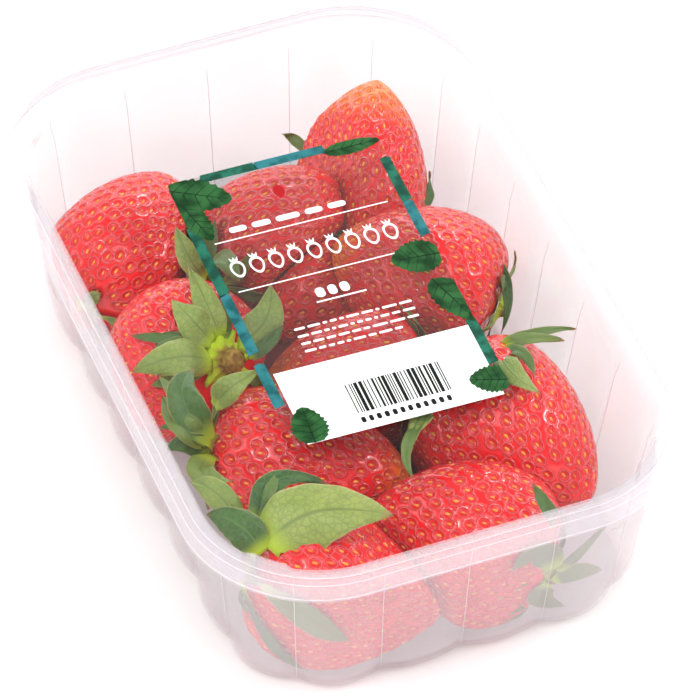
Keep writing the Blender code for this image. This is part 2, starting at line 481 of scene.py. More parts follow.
def make_tray(mat):
    """The tray as one closed shell with a fine stepped rim, lugs and creased flutes."""
    count = FLUTES * POINTS_PER_FLUTE
    upper = np.array(TRAY_SECTIONS)
    lower = shell_sections(TRAY_SECTIONS)
    lower[-BASE_SECTIONS:, 1] = 0.0
    rings = np.concatenate([lower[::-1], upper])
    numbers = list(range(len(upper)))
    points = []
    for number, (inset, height, radius, share) in zip(numbers[::-1] + numbers, rings):
        lug = LUG_DEPTH if number in LUG_SECTIONS else 0.0
        points.append(at_height(rounded_ring(count, inset, radius, share, lug), height))
    faces = tube_faces(len(rings), count)
    obj = mesh_object("tray_shell", np.concatenate(points), faces, mat)
    obj.data.set_sharp_from_angle(angle=SHARP_EDGE)
    return finish_piece(obj, "tray_plastic", "tray")


def make_beads(mat):
    """Fine beads along the rim's steps and hem, where the plastic is thicker; their whiter plastic is
    partly a painted highlight.
    """
    count = FLUTES * POINTS_PER_FLUTE
    total = BEAD_SIDES * count
    ring_faces = grid_faces(BEAD_SIDES + 1, count) % total
    points, faces = [], []
    for index, (inset, height, radius) in enumerate(RIM_BEADS):
        for angle in circle(BEAD_SIDES):
            plan = rounded_ring(count, inset + BEAD_RADIUS * cos(angle), radius, 0.0)
            points.append(at_height(plan, height + BEAD_RADIUS * sin(angle)))
        faces.extend((ring_faces + index * total).tolist())
    obj = mesh_object("rim_beads", np.concatenate(points), faces, mat)
    return finish_piece(obj, "tray_plastic")


def make_creases(mat):
    """A fine bead down each crease between flutes, on the outer face of the wall."""
    count = FLUTES * POINTS_PER_FLUTE
    wall = shell_sections(TRAY_SECTIONS)[CREASE_SECTIONS]
    rings = np.array([rounded_ring(count, inset, radius, share) for inset, _, radius, share in wall])
    tangent = unit(np.roll(rings, -1, 1) - np.roll(rings, 1, 1))[:, ::POINTS_PER_FLUTE]
    outward = np.stack([tangent[..., 1], -tangent[..., 0]], -1)
    plan = rings[:, ::POINTS_PER_FLUTE]
    corners = np.stack([plan + CREASE_RADIUS * way for way in (tangent, outward, -tangent, -outward)], 2)
    heights = np.broadcast_to(wall[:, 1, None, None, None], corners.shape[:3] + (1,))
    points = np.concatenate([corners, heights], -1).transpose(1, 0, 2, 3).reshape(-1, 3)
    faces = []
    for flute in range(FLUTES):
        faces.extend(tube_faces(len(wall), 4, flute * len(wall) * 4))
    return finish_piece(mesh_object("wall_creases", points, faces, mat), "tray_plastic")


# ---------------------------------------------------------------- berries inside the tray
def press_inside(points, gap=FLESH_GAP):
    """Ease points away from the tray's wall, its floor and the film, as soft fruit gives."""
    z = points[..., 2]
    floor = WALL + gap
    ceiling = TRAY_TOP - FILM_CLEARANCE
    z = floor + soft_distance(z - floor, PRESS * 0.5)
    z = ceiling - soft_distance(ceiling - z, PRESS * 0.6)
    insets, heights, radii, _ = np.array(INNER_WALL)[::-1].T
    inset = np.interp(z, heights, insets) + gap
    radius = np.interp(z, heights, radii)
    over_x = np.abs(points[..., 0]) - (HALF_X - inset - radius)
    over_y = np.abs(points[..., 1]) - (HALF_Y - inset - radius)
    corner = (over_x > 0) & (over_y > 0)
    reach = np.where(corner, np.hypot(over_x, over_y), np.maximum(over_x, over_y))
    inside = radius - reach
    push = soft_distance(inside, PRESS) - inside
    grad_x = np.where(corner, over_x / np.maximum(reach, 1e-9), (over_x >= over_y).astype(float))
    grad_y = np.where(corner, over_y / np.maximum(reach, 1e-9), (over_x < over_y).astype(float))
    x = points[..., 0] - np.sign(points[..., 0]) * grad_x * push
    y = points[..., 1] - np.sign(points[..., 1]) * grad_y * push
    return np.stack([x, y, z], -1)


def soft_distance(distance, margin):
    """A distance kept above zero: unchanged beyond the margin, eased towards zero within it."""
    eased = margin * np.exp(np.minimum(distance / margin - 1, 0.0))
    return np.where(distance > margin, distance, eased)


def profile(share):
    """A strawberry's radius along its axis, as a share of its half width."""
    shoulder = np.clip(1 - np.clip((SHOULDER - share) / SHOULDER, 0, 1) ** 2.4, 0, 1) ** 0.5
    cone = np.clip(1 - np.clip((share - SHOULDER) / (1 - SHOULDER), 0, 1) ** 1.9, 0, 1) ** 0.72
    return np.where(share < SHOULDER, shoulder, cone)


class Berry:
    """One strawberry: its axis, its uneven outline, and the neighbours it presses on."""

    def __init__(self, name, middle, turn, rise, length, width, pale):
        self.name = name
        self.middle = np.array(middle) * MM
        self.length = length * MM
        self.width = width * MM
        self.pale = pale
        heading, climb = radians(turn), radians(rise)
        self.axis = np.array([cos(heading) * cos(climb), sin(heading) * cos(climb), sin(climb)])
        self.side = np.array([-sin(heading), cos(heading), 0.0])
        self.top = np.cross(self.axis, self.side)
        self.planes = []
        luck = random.Random(name)
        self.lobes = [(order, luck.uniform(0.3, 1.0) * size, luck.uniform(0, 2 * pi))
                      for order, size in LOBES]
        self.bend = luck.uniform(-0.05, 0.05)
        self.luck = luck

    def spine(self, share):
        """A point on the axis, from the calyx at 0 to the tip at 1."""
        return self.middle + self.axis * (share - 0.5) * self.length

    def surface(self, share, angle):
        """Points on the skin, pressed by the tray and by neighbours, without pits."""
        share, angle = np.broadcast_arrays(np.asarray(share, float), np.asarray(angle, float))
        uneven = np.ones_like(share)
        for order, size, phase in self.lobes:
            uneven = uneven + size * np.sin(order * angle + phase + 1.5 * share)
        radius = self.width / 2 * profile(share) * uneven
        dent = 0.05 * self.length * np.exp(-(share / 0.05) ** 2)
        lift = (share - 0.5) * self.length + dent
        sway = self.bend * self.length * np.sin(pi * share)
        points = (self.middle + self.axis * lift[..., None]
                  + self.side * (radius * np.cos(angle) + sway)[..., None]
                  + self.top * (radius * np.sin(angle))[..., None])
        for origin, normal in self.planes:
            away = -(points - origin) @ normal
            points = points - normal * (soft_distance(away, TOUCH) - away)[..., None]
        return press_inside(points)

    def normals(self, share, angle):
        """Outward directions of the pressed skin."""
        step = 0.006
        low, high = np.clip(share - step, 0.002, 0.998), np.clip(share + step, 0.002, 0.998)
        along = self.surface(high, angle) - self.surface(low, angle)
        around = self.surface(share, angle + 0.03) - self.surface(share, angle - 0.03)
        return unit(np.cross(around, along))


def part_neighbours(berries):
    """Where two berries would overlap, a plane between them flattens both a little."""
    shares = np.linspace(0.1, 0.95, 18)
    for index, first in enumerate(berries):
        for second in berries[:index]:
            best = None
            for share_a in shares:
                spot_a = first.spine(share_a)
                radius_a = first.width / 2 * float(profile(np.array(share_a)))
                for share_b in shares:
                    spot_b = second.spine(share_b)
                    radius_b = second.width / 2 * float(profile(np.array(share_b)))
                    apart = float(np.linalg.norm(spot_b - spot_a))
                    overlap = radius_a + radius_b - apart
                    if best is None or overlap > best[0]:
                        best = (overlap, spot_a, spot_b, radius_a, radius_b, apart)
            overlap, spot_a, spot_b, radius_a, radius_b, apart = best
            if overlap < -TOUCH:
                continue
            normal = (spot_b - spot_a) / apart
            origin = spot_a + normal * apart * radius_a / (radius_a + radius_b)
            first.planes.append((origin - normal * BERRY_GAP, normal))
            second.planes.append((origin + normal * BERRY_GAP, -normal))


def arc_shares(berry, count, spacing):
    """Shares along the axis at equal steps of arc length (spacing 'arc') or skin area ('area')."""
    share = np.linspace(0, 1, 800)
    lengthwise = share * berry.length
    radius = berry.width / 2 * profile(share)
    step = np.hypot(np.diff(lengthwise), np.diff(radius))
    if spacing == "area":
        step = step * (radius[1:] + radius[:-1]) * pi
    total = np.concatenate([[0], np.cumsum(step)])
    wanted = (np.arange(count) + 0.5) / count if spacing == "area" else np.linspace(0, 1, count)
    return np.interp(wanted * total[-1], total, share), total[-1]


def seed_places(berry):
    """Seeds in a sunflower spiral over the skin: share, angle, and a little disorder."""
    area = arc_shares(berry, 2, "area")[1]
    count = int(area / (SEED_CELL * MM * MM))
    shares, _ = arc_shares(berry, count, "area")
    keep = shares > 0.035
    angles = (np.arange(count) * GOLDEN_ANGLE)[keep]
    shares = shares[keep]
    jitter = np.array([berry.luck.gauss(0, 1) for _ in range(2 * len(shares))]).reshape(2, -1)
    radius = np.maximum(profile(shares) * berry.width / 2, 1.5 * MM)
    shares = np.clip(shares + jitter[0] * SEED_JITTER / berry.length, 0.03, 0.992)
    return shares, angles + jitter[1] * SEED_JITTER / radius


def seed_frames(berry):
    """Each seed's place on the skin, and its lengthwise, crosswise and outward directions."""
    share, angle = seed_places(berry)
    outward = berry.normals(share, angle)
    lengthwise = unit(berry.axis - (outward @ berry.axis)[:, None] * outward)
    return berry.surface(share, angle), lengthwise, np.cross(outward, lengthwise), outward


def pit_distances(points, places, lengthwise, crosswise):
    """How far each point is from the nearest seed, in millimetres, in an oval measure."""
    tree = kdtree.KDTree(len(places))
    for index, place in enumerate(places):
        tree.insert(place, index)
    tree.balance()
    pit = np.full(len(points), FAR_FROM_SEEDS)
    for index, point in enumerate(points):
        for _, seed, _ in tree.find_n(point, 2):
            offset = (point - places[seed]) / MM
            distance = np.hypot(offset @ lengthwise[seed] / PIT_LENGTHWISE,
                                offset @ crosswise[seed] / PIT_CROSSWISE)
            pit[index] = min(pit[index], float(distance))
    return pit


def skin_faces(rows):
    """Faces of a berry's skin: rings of quads, and a fan round each of its two ends."""
    faces = grid_faces(rows, SIDES).tolist()
    first_pole, last_pole = rows * SIDES, rows * SIDES + 1
    for j in range(SIDES):
        k = (j + 1) % SIDES
        faces.append((first_pole, k, j))
        faces.append((last_pole, (rows - 1) * SIDES + j, (rows - 1) * SIDES + k))
    return faces


def make_flesh(berry, mat):
    """One berry's skin as a mesh with real pits round its seeds, and where those seeds lie."""
    places, lengthwise, crosswise, seed_out = seed_frames(berry)
    ring_share = arc_shares(berry, RINGS, "arc")[0][1:-1]
    share, angle = np.meshgrid(ring_share, circle(SIDES), indexing="ij")
    ends = np.stack([berry.surface(0.0, 0.0), berry.surface(1.0, 0.0)])
    points = np.concatenate([berry.surface(share, angle).reshape(-1, 3), ends])
    outward = np.concatenate([berry.normals(share, angle).reshape(-1, 3), [-berry.axis, berry.axis]])

    pit = pit_distances(points, places, lengthwise, crosswise)
    all_share = np.concatenate([share.ravel(), [0.0, 1.0]])
    near_tip = smoothstep(1.0, 0.93, all_share) * 0.5 + 0.5
    depth = PIT_DEPTH * near_tip * smoothstep(PIT_RADIUS, 0.25, pit)
    cushion = CUSHION * smoothstep(PIT_RADIUS, 1.75, pit)
    points = points + outward * (cushion - depth)[:, None]

    obj = mesh_object("flesh_" + berry.name, points, skin_faces(len(ring_share)), mat)
    float_attribute(obj, "pit", pit)
    unripe = smoothstep(1 - berry.pale, 1.02, all_share) if berry.pale else np.zeros_like(all_share)
    float_attribute(obj, "unripe", unripe * 0.95)
    return obj, (places - seed_out * PIT_DEPTH * SEED_SINK, lengthwise, crosswise, seed_out)


def make_seeds(groups, mat):
    """All the seeds as one mesh of small pointed drops, each lying in its pit."""
    rows, columns = SEED_ROWS, SEED_COLUMNS
    share = (1 - np.cos(np.linspace(0, pi, rows))) / 2
    radius = np.sin(pi * share ** 0.85) ** 0.85
    radius[0] = radius[-1] = 0.02
    angle = circle(columns)
    local = np.stack([np.repeat((share - 0.5) * SEED_LENGTH, columns),
                      np.outer(radius, np.cos(angle)).ravel() * SEED_WIDTH / 2,
                      np.outer(radius, np.sin(angle)).ravel() * SEED_HEIGHT], -1)
    faces = grid_faces(rows, columns)
    ends = tube_faces(rows, columns)[-2:]
    luck = random.Random(5)
    points, quads, caps, tones = [], [], [], []
    base = 0
    for at, lengthwise, crosswise, outward in groups:
        for i in range(len(at)):
            size = luck.uniform(0.85, 1.12)
            axes = np.stack([lengthwise[i], crosswise[i], outward[i]])
            points.append(at[i] + (local * size) @ axes)
            quads.append(faces + base)
            caps.extend(tuple(v + base for v in end) for end in ends)
            tones.append(np.full(len(local), luck.random()))
            base += len(local)
    all_faces = np.concatenate(quads).tolist() + caps
    obj = mesh_object("seeds", np.concatenate(points), all_faces, mat)
    float_attribute(obj, "tone", np.concatenate(tones))
    return finish_piece(obj, "berry_flesh")


# ---------------------------------------------------------------- sepals and stems
class Blades:
    """Gathers sepals into one mesh: curved blades of real thickness."""

    ROWS = 26
    COLUMNS = 11
    HALF_THICKNESS = 0.14 * MM

    def __init__(self):
        self.points, self.faces = [], []
        self.along, self.across, self.tone = [], [], []
        self.count = 0

    def add(self, spine, upward, width, tone, fold=0.25, curl=0.0, wave=0.0, phase=0.0, blunt=0.95):
        """A blade along spine points, its face towards upward, folded along its midrib."""
        t = np.linspace(0, 1, self.ROWS)
        tangent = unit(np.gradient(spine, axis=0))
        side = unit(np.cross(tangent, upward))
        face = np.cross(side, tangent)
        half = width / 2 * np.clip(t, 0, 1) ** 0.55 * (1 - t) ** blunt
        half = half / half.max() * width / 2 * (1 + 0.02 * np.sin(t * 31 + phase * 2))
        half = np.maximum(half, width * (0.26 * (1 - t) ** 3) + 0.05 * MM)
        v = np.linspace(-1, 1, self.COLUMNS)
        ripple = wave * np.sin(t[:, None] * 9 + phase + v[None, :] * 1.3) * np.abs(v)[None, :]
        rise = (fold * np.abs(v) + curl * v ** 2)[None, :] * half[:, None] + ripple
        reach = half[:, None] * v[None, :] * (1 - 0.1 * abs(fold))
        middle = spine[:, None] + side[:, None] * reach[..., None] + face[:, None] * rise[..., None]
        thick = self.HALF_THICKNESS * np.sqrt(np.clip(1 - v ** 2, 0.05, 1))[None, :, None]
        front = middle + face[:, None] * thick
        back = middle - face[:, None] * thick
        loop = press_inside(np.concatenate([front, back[:, ::-1]], axis=1), SEPAL_GAP)
        columns = loop.shape[1]
        self.points.append(loop.reshape(-1, 3))
        self.faces.extend(tube_faces(self.ROWS, columns, self.count))
        self.along.append(np.repeat(t, columns))
        self.across.append(np.tile(np.concatenate([v, v[::-1]]), self.ROWS))
        self.tone.append(np.full(self.ROWS * columns, tone))
        self.count += self.ROWS * columns

    def finish(self, name, mat):
        """The gathered blades as one piece."""
        obj = mesh_object(name, np.concatenate(self.points), self.faces, mat)
        float_attribute(obj, "along", np.concatenate(self.along))
        float_attribute(obj, "across", np.concatenate(self.across))
        float_attribute(obj, "tone", np.concatenate(self.tone))
        return finish_piece(obj, "berry_flesh")


def curve(points, count):
    """A smooth curve of count points from a start past a bend to an end (mm)."""
    start, bend, end = np.asarray(points, float) * MM
    t = np.linspace(0, 1, count)[:, None]
    control = 2 * bend - (start + end) / 2
    return (1 - t) ** 2 * start + 2 * t * (1 - t) * control + t ** 2 * end


def hugging_sepal(blades, berry, angle, reach, width, lift, tone, sweep=0.0, fold=0.25):
    """A sepal that lies over the berry's shoulder and lifts off towards its tip."""
    t = np.linspace(0, 1, Blades.ROWS)
    share = 0.004 + reach * t ** 1.15
    angles = angle + sweep * t ** 1.5
    skin = berry.surface(share, angles)
    outward = berry.normals(np.maximum(share, 0.03), angles)
    outward = unit(outward - berry.axis * (1 - t)[:, None] ** 3 * 2)
    off = (0.7 * MM + lift * MM * t ** 1.7)[:, None]
    spine = press_inside(skin + outward * off)
    blades.add(spine, outward, width * MM, tone, fold=fold, curl=-0.1, wave=0.25 * MM, phase=angle * 3)


STEM_ROWS, STEM_COLUMNS = 14, 44
STEM_RIBS = 11


def make_stem(berry, mat, length, stub, foot):
    """A short cut stem: a ragged yellow-green foot on the calyx and a fibrous stub (mm)."""
    rows, columns = STEM_ROWS, STEM_COLUMNS
    t = np.linspace(0, 1, rows)
    radius = stub + (foot - stub) * (1 - t) ** 4
    radius[-1] = stub * 0.55
    angle = circle(columns)
    ribs = np.sin(angle * STEM_RIBS + 0.7 * np.sin(angle * 2))
    ragged = 1 + (0.04 + 0.20 * (1 - t) ** 2)[:, None] * ribs[None, :]
    reach = (radius * MM)[:, None] * ragged
    centre = berry.surface(0.0, 0.0) - berry.axis * (t * length * MM + 0.5 * MM)[:, None]
    points = (centre[:, None] + (reach * np.cos(angle))[..., None] * berry.side
              + (reach * np.sin(angle))[..., None] * berry.top)
    faces = [face[::-1] for face in tube_faces(rows, columns)]
    obj = mesh_object("stem_" + berry.name, press_inside(points).reshape(-1, 3), faces, mat)
    float_attribute(obj, "along", np.repeat(t, columns))
    return finish_piece(obj, "berry_flesh")


# Sepals that show most: their root, bend and tip in millimetres, width, tone (0 dark, 1 pale)
# and fold (how deeply the blade is folded along its midrib)
LONG_SEPALS = {
    "left": (
        ((-23, 1, 30), (-24, 5, 35), (-24, 15, 36), 5.6, 0.95, 0.25),
        ((-25, 0, 30), (-28, 2, 35), (-30, 8, 36), 6.8, 0.85, 0.15),
        ((-26, -1, 28), (-32, 1, 32), (-39, 6, 31), 4.0, 0.15, 0.35),
        ((-26, -3, 28), (-34, -5, 34), (-42, -3, 31), 8.0, 0.80, 0.12),
        ((-20, -1, 29), (-15, -2, 34), (-11, 5, 36), 7.6, 0.95, 0.12),
        ((-19, -4, 28), (-16, -6, 32), (-12, -4, 34), 3.4, 0.20, 0.40),
    ),
    "lower_left": (
        ((-30, -15, 29), (-27, -16, 34), (-21, -15, 35), 5.4, 0.85, 0.40),
        ((-34, -21, 26), (-37, -18, 34), (-38, -6, 32), 5.0, 0.40, 0.50),
        ((-33, -22, 27), (-37, -17, 35), (-32, -9, 34), 7.4, 0.10, 0.65),
        ((-34, -21, 26), (-39, -20, 33), (-39, -11, 31), 5.4, 0.45, 0.40),
        ((-34, -21, 25), (-38, -19, 30), (-42, -16, 28), 2.6, 0.30, 0.40),
        ((-34, -22, 24), (-38, -22, 29), (-42, -21, 27), 5.0, 0.05, 0.35),
        ((-34, -24, 26), (-39, -32, 31), (-35, -38, 33), 5.6, 0.60, 0.30),
    ),
    "front_left": (
        ((-35, -54, 32), (-24, -54, 37), (-12, -60, 37), 13.5, 0.95, 0.02),
        ((-35, -51, 31), (-29, -44, 37), (-20, -48, 36), 5.5, 0.0, 0.60),
        ((-33, -48, 32), (-30, -45, 37), (-25, -41, 36), 2.4, 0.30, 0.40),
        ((-36, -55, 31), (-39, -51, 36), (-43, -45, 34), 7.6, 0.08, 0.20),
        ((-37, -47, 31), (-40, -42, 36), (-43, -36, 34), 5.6, 0.70, 0.30),
        ((-40, -62, 29), (-35, -72, 22), (-23, -72, 13), 11.0, 0.60, 0.05),
        ((-44, -58, 26), (-44, -64, 13), (-34, -71, 4), 8.0, 0.10, 0.10),
    ),
    "front_right": (
        ((18, -71, 17), (14, -72, 24), (9, -72, 20), 7.0, 0.40, 0.10),
        ((19, -70, 16), (24, -71, 21), (30, -70, 26), 3.8, 0.15, 0.35),
        ((18, -70, 13), (23, -71, 14), (31, -68, 10), 6.0, 0.35, 0.20),
        ((18, -65, 28), (16, -66, 34), (15, -61, 36), 3.4, 0.15, 0.50),
        ((17, -70, 13), (16, -71, 9), (21, -70, 4), 5.5, 0.40, 0.15),
    ),
    "lower_right": (
        ((24, -25, 35), (31, -26, 37), (38, -27, 36), 2.6, 0.25, 0.70),
        ((24, -25, 35), (29, -27, 37), (35, -29, 36), 3.0, 0.40, 0.50),
        ((23, -27, 35), (26, -30, 37), (26, -36, 36), 2.8, 0.20, 0.40),
        ((23, -26, 35), (22, -33, 37), (25, -41, 37), 5.6, 0.75, 0.20),
        ((5, -36, 35), (2, -38, 36), (-2, -42, 35), 4.0, 0.85, 0.30),
        ((4, -37, 35), (-3, -44, 36), (-4, -50, 34), 2.4, 0.35, 0.50),
    ),
    "right": (
        ((33, 7, 28), (36, 1, 22), (33, -4, 15), 2.6, 0.0, 0.40),
    ),
    "back_right": (
        ((17, 55, 15), (15, 60, 16), (13, 61, 17), 2.4, 0.30, 0.40),
        ((31, 31, 17), (33, 34, 18), (36, 40, 18), 2.8, 0.10, 0.50),
    ),
    "upper_middle": (
        ((-18, 22, 24), (-21, 23, 30), (-21, 30, 32), 5.0, 0.85, 0.30),
        ((-15, 26, 24), (-15, 20, 30), (-14, 14, 29), 5.5, 0.45, 0.30),
    ),
}
# Number of short sepals that hug the shoulder, their reach as a share of the length, width (mm):
# fewer and smaller where many long ones stand, smallest where the calyx is hardly seen
FULL_CALYX = (9, 0.20, 4.2)
SPARE_CALYX = (6, 0.15, 3.6)
SMALL_CALYX = (5, 0.08, 2.6)
SMALL_CALYX_BERRIES = ("back_left", "right")
MANY_LONG_SEPALS = 4
# Stem length, stub radius and foot radius (mm): one berry shows the whole of its stem
LONG_STEM = (4.8, 2.2, 5.4)
SHORT_STEM = (2.4, 1.3, 2.8)
LONG_STEM_BERRY = "left"
# The way a long sepal's face looks: up where it stands over the rim, out where it hangs low
FACING_UP = (-0.1, -0.4, 0.9)
FACING_OUT = (0.1, -1.0, 0.3)


def calyx_size(name, long_ones):
    """How many short sepals a berry has, their reach and their width."""
    if name in SMALL_CALYX_BERRIES:
        return SMALL_CALYX
    return SPARE_CALYX if len(long_ones) >= MANY_LONG_SEPALS else FULL_CALYX


def make_calyxes(berries, leaf, stem):
    """Sepals round every calyx, and the long ones that stand away from their berry."""
    blades = Blades()
    for berry in berries:
        luck = random.Random(berry.name + "_calyx")
        long_ones = LONG_SEPALS.get(berry.name, ())
        count, reach, width = calyx_size(berry.name, long_ones)
        start = luck.uniform(0, 2 * pi)
        for i in range(count):
            angle = start + 2 * pi * i / count + luck.uniform(-0.15, 0.15)
            hugging_sepal(blades, berry, angle, reach * luck.uniform(0.7, 1.15),
                          width * luck.uniform(0.75, 1.2), luck.uniform(0.2, 1.2),
                          luck.uniform(0.1, 0.8), luck.uniform(-0.25, 0.25))
        for i, (root, bend, tip, width, tone, fold) in enumerate(long_ones):
            spine = curve((root, bend, tip), Blades.ROWS)
            upward = FACING_UP if max(root[2], tip[2]) > 27 and tip[2] > 14 else FACING_OUT
            blades.add(spine, np.tile(upward, (Blades.ROWS, 1)), width * MM, tone, fold=fold,
                       curl=-0.25, wave=0.5 * MM, phase=i * 1.7)
        make_stem(berry, stem, *(LONG_STEM if berry.name == LONG_STEM_BERRY else SHORT_STEM))
    blades.finish("sepals", leaf)


CORE_ROWS, CORE_COLUMNS = 14, 96
CORE_INSET = 25 * MM
CORE_TAPER = 20 * MM
CORE_FOOT = 1.0 * MM
CORE_RISE = 7.0 * MM
CORE_LUMPS = 1.2 * MM


def make_core(mat):
    """A low lumpy core under the berries, clear of the walls."""
    points = []
    for i in range(CORE_ROWS):
        t = i / (CORE_ROWS - 1)
        inset = CORE_INSET + CORE_TAPER * t ** 2
        plan = rounded_ring(CORE_COLUMNS, inset, 9 * MM * (1 - t) + 1.0 * MM, 0.0)
        lump = np.sin(plan[:, 0] * 320) * np.sin(plan[:, 1] * 260) * CORE_LUMPS
        points.append(at_height(plan, CORE_FOOT + CORE_RISE * np.sin(t * pi / 2) + lump * t))
    faces = tube_faces(CORE_ROWS, CORE_COLUMNS)
    obj = mesh_object("berry_core", np.concatenate(points), faces, mat)
    return finish_piece(obj, "berry_flesh", "berries")


# ---------------------------------------------------------------- the film
FILM_RINGS, FILM_COLUMNS = 26, 288
FILM_INSET = 1.8 * MM
FILM_LIFT = 0.10 * MM
FILM_THICKNESS = 0.05 * MM
FILM_RIPPLE = 0.10 * MM


def make_film(mat):
    """The film, sealed flat on the flange with faint slack ripples over the berries."""
    rings, count = FILM_RINGS, FILM_COLUMNS
    points = []
    for i in range(rings):
        t = i / (rings - 1)
        inset = FILM_INSET + (HALF_X - 4.5 * MM) * t
        plan = rounded_ring(count, inset, max(26.2 * MM - inset, 1.5 * MM), 0.0)
        slack = smoothstep(0.1, 0.3, t) * FILM_RIPPLE
        waves = np.sin(plan[:, 0] * 300 + plan[:, 1] * 120) + np.sin(plan[:, 1] * 210 - 1.0)
        ripple = slack * waves / 2
        points.append(at_height(plan, film_low[2] + FILM_LIFT + ripple))
    top = np.concatenate(points)
    bottom = top - np.array([0, 0, FILM_THICKNESS])
    total = rings * count
    skin = grid_faces(rings, count).tolist() + [list(range(total - count, total))]
    under = [[v + total for v in face][::-1] for face in skin]
    rim = [(i, i + total, (i + 1) % count + total, (i + 1) % count) for i in range(count)]
    obj = mesh_object("film_sheet", np.concatenate([top, bottom]), skin + under + rim, mat)
    return finish_piece(obj, "clear_film", "film")


# ---------------------------------------------------------------- the label
LABEL_TURN = radians(-1.5)
LABEL_WIDTH = 43.0
LABEL_LENGTH = 74.0
LABEL_MIDDLE = (label_low[:2] + label_high[:2]) / 2
LABEL_LIFT = 0.06 * MM
PRINT_STEP = 0.02 * MM


def on_label(points):
    """Label coordinates (mm, from its middle, u across and v towards its head) to the plan."""
    points = np.asarray(points, float) * MM
    turn = np.array([[cos(LABEL_TURN), sin(LABEL_TURN)], [-sin(LABEL_TURN), cos(LABEL_TURN)]])
    return points @ turn + LABEL_MIDDLE


def printed(name, outlines, layer, mat, replaces=()):
    """Flat printed shapes as one piece, on a numbered layer above the label's face."""
    low = label_low[2] + LABEL_LIFT + layer * PRINT_STEP
    points, faces, base = [], [], 0
    for index, outline in enumerate(outlines):
        plan = on_label(outline)
        count = len(plan)
        stacked = low + (index % 7) * PRINT_STEP * 0.05
        points += [at_height(plan, stacked), at_height(plan, stacked + PRINT_STEP * 0.6)]
        faces.append([base + i for i in range(count)][::-1])
        faces.append([base + count + i for i in range(count)])
        for i in range(count):
            j = (i + 1) % count
            faces.append((base + i, base + j, base + count + j, base + count + i))
        base += 2 * count
    obj = mesh_object(name, np.concatenate(points), faces, mat, smooth=False)
    return finish_piece(obj, "label_print", *replaces)


def box_outline(u0, v0, u1, v1):
    """A rectangle between two corners."""
    return [(u0, v0), (u1, v0), (u1, v1), (u0, v1)]


def leaf_axes(stem, tip):
    """A leaf's root, its axis to the tip, and the direction across it."""
    stem, tip = np.array(stem, float), np.array(tip, float)
    axis = tip - stem
    return stem, axis, np.array([-axis[1], axis[0]]) / np.linalg.norm(axis)


def leaf_half(width, share):
    """Half a printed leaf's width at a share of its length."""
    return width / 2 * sin(pi * share ** 0.8) ** 0.62


def leaf_outline(stem, tip, width, teeth=9):
    """A serrated leaf from its stem to its tip, as label coordinates."""
    stem, axis, across = leaf_axes(stem, tip)
    outline = []
    for side in (1, -1):
        edge = []
        for i in range(teeth * 2 + 1):
            t = i / (teeth * 2)
            half = leaf_half(width, t) if 0 < t < 1 else 0.0
            notch, forward = (1.0, 0.012) if i % 2 else (0.86, 0.0)
            edge.append(stem + axis * min(t + forward, 1.0) + across * side * half * notch)
        outline += edge if side == 1 else edge[-2:0:-1]
    return on_sticker(outline)


def leaf_veins(stem, tip, width, pairs=5):
    """The midrib and side veins of a printed leaf, as thin strips."""
    stem, axis, across = leaf_axes(stem, tip)
    strips = [strip(stem, stem + axis * 0.94, 0.30)]
    for i in range(pairs):
        t = 0.14 + 0.66 * i / (pairs - 1)
        reach = leaf_half(width, t + 0.1) * 0.8
        for side in (1, -1):
            root = stem + axis * t
            strips.append(strip(root, root + axis * 0.14 + across * side * reach, 0.18))
    return [on_sticker(outline) for outline in strips]


def strip(start, end, thickness):
    """A thin strip between two points, tapering to its end."""
    start, end = np.array(start, float), np.array(end, float)
    across = np.array([start[1] - end[1], end[0] - start[0]])
    across = across / np.linalg.norm(across) * thickness / 2
    return [start - across, end - across * 0.3, end + across * 0.3, start + across]


def on_sticker(outline):
    """Cut an outline straight at the sticker's edges."""
    limit = np.array([LABEL_WIDTH / 2, LABEL_LENGTH / 2]) - 0.02
    return np.clip(np.array(outline), -limit, limit)


def rounded_bar(u0, v0, u1, v1, radius):
    """A small bar with rounded corners."""
    outline = []
    for centre_u, centre_v, start in ((u1 - radius, v1 - radius, 0), (u0 + radius, v1 - radius, 90),
                                      (u0 + radius, v0 + radius, 180), (u1 - radius, v0 + radius, 270)):
        for step in range(4):
            angle = radians(start + 30 * step)
            outline.append((centre_u + radius * cos(angle), centre_v + radius * sin(angle)))
    return outline


def dashes(luck, u0, u1, v, height, shortest, longest, gap):
    """A line of plain rounded dashes of uneven length, standing where small print would."""
    outlines = []
    u = u0
    while u < u1 - shortest:
        end = min(u + luck.uniform(shortest, longest), u1)
        outlines.append(rounded_bar(u, v, end, v + height, min(height, end - u) * 0.45))
        u = end + gap
    return outlines


FRUIT_POINTS = 20


def fruit_shape(u, v, height):
    """A plain rounded fruit shape, widest near its top."""
    outline = []
    for i in range(FRUIT_POINTS):
        angle = 2 * pi * i / FRUIT_POINTS
        narrow = 1 - 0.28 * (1 - sin(angle)) / 2
        outline.append((u + height * 0.36 * narrow * cos(angle), v + height / 2 * sin(angle)))
    return outline


def fruit_outline(u, v, height):
    """The same fruit drawn as a ring with a three-pointed crown."""
    outer = fruit_shape(u, v, height)
    inner = fruit_shape(u, v, height * 0.72)
    quads = []
    for i in range(len(outer)):
        j = (i + 1) % len(outer)
        quads.append([outer[i], outer[j], inner[j], inner[i]])
    top = v + height / 2
    for lean in (-0.9, 0.0, 0.9):
        quads.append([(u - 0.35 + lean * 0.4, top), (u + 0.35 + lean * 0.4, top), (u + lean, top + 1.1)])
    return quads


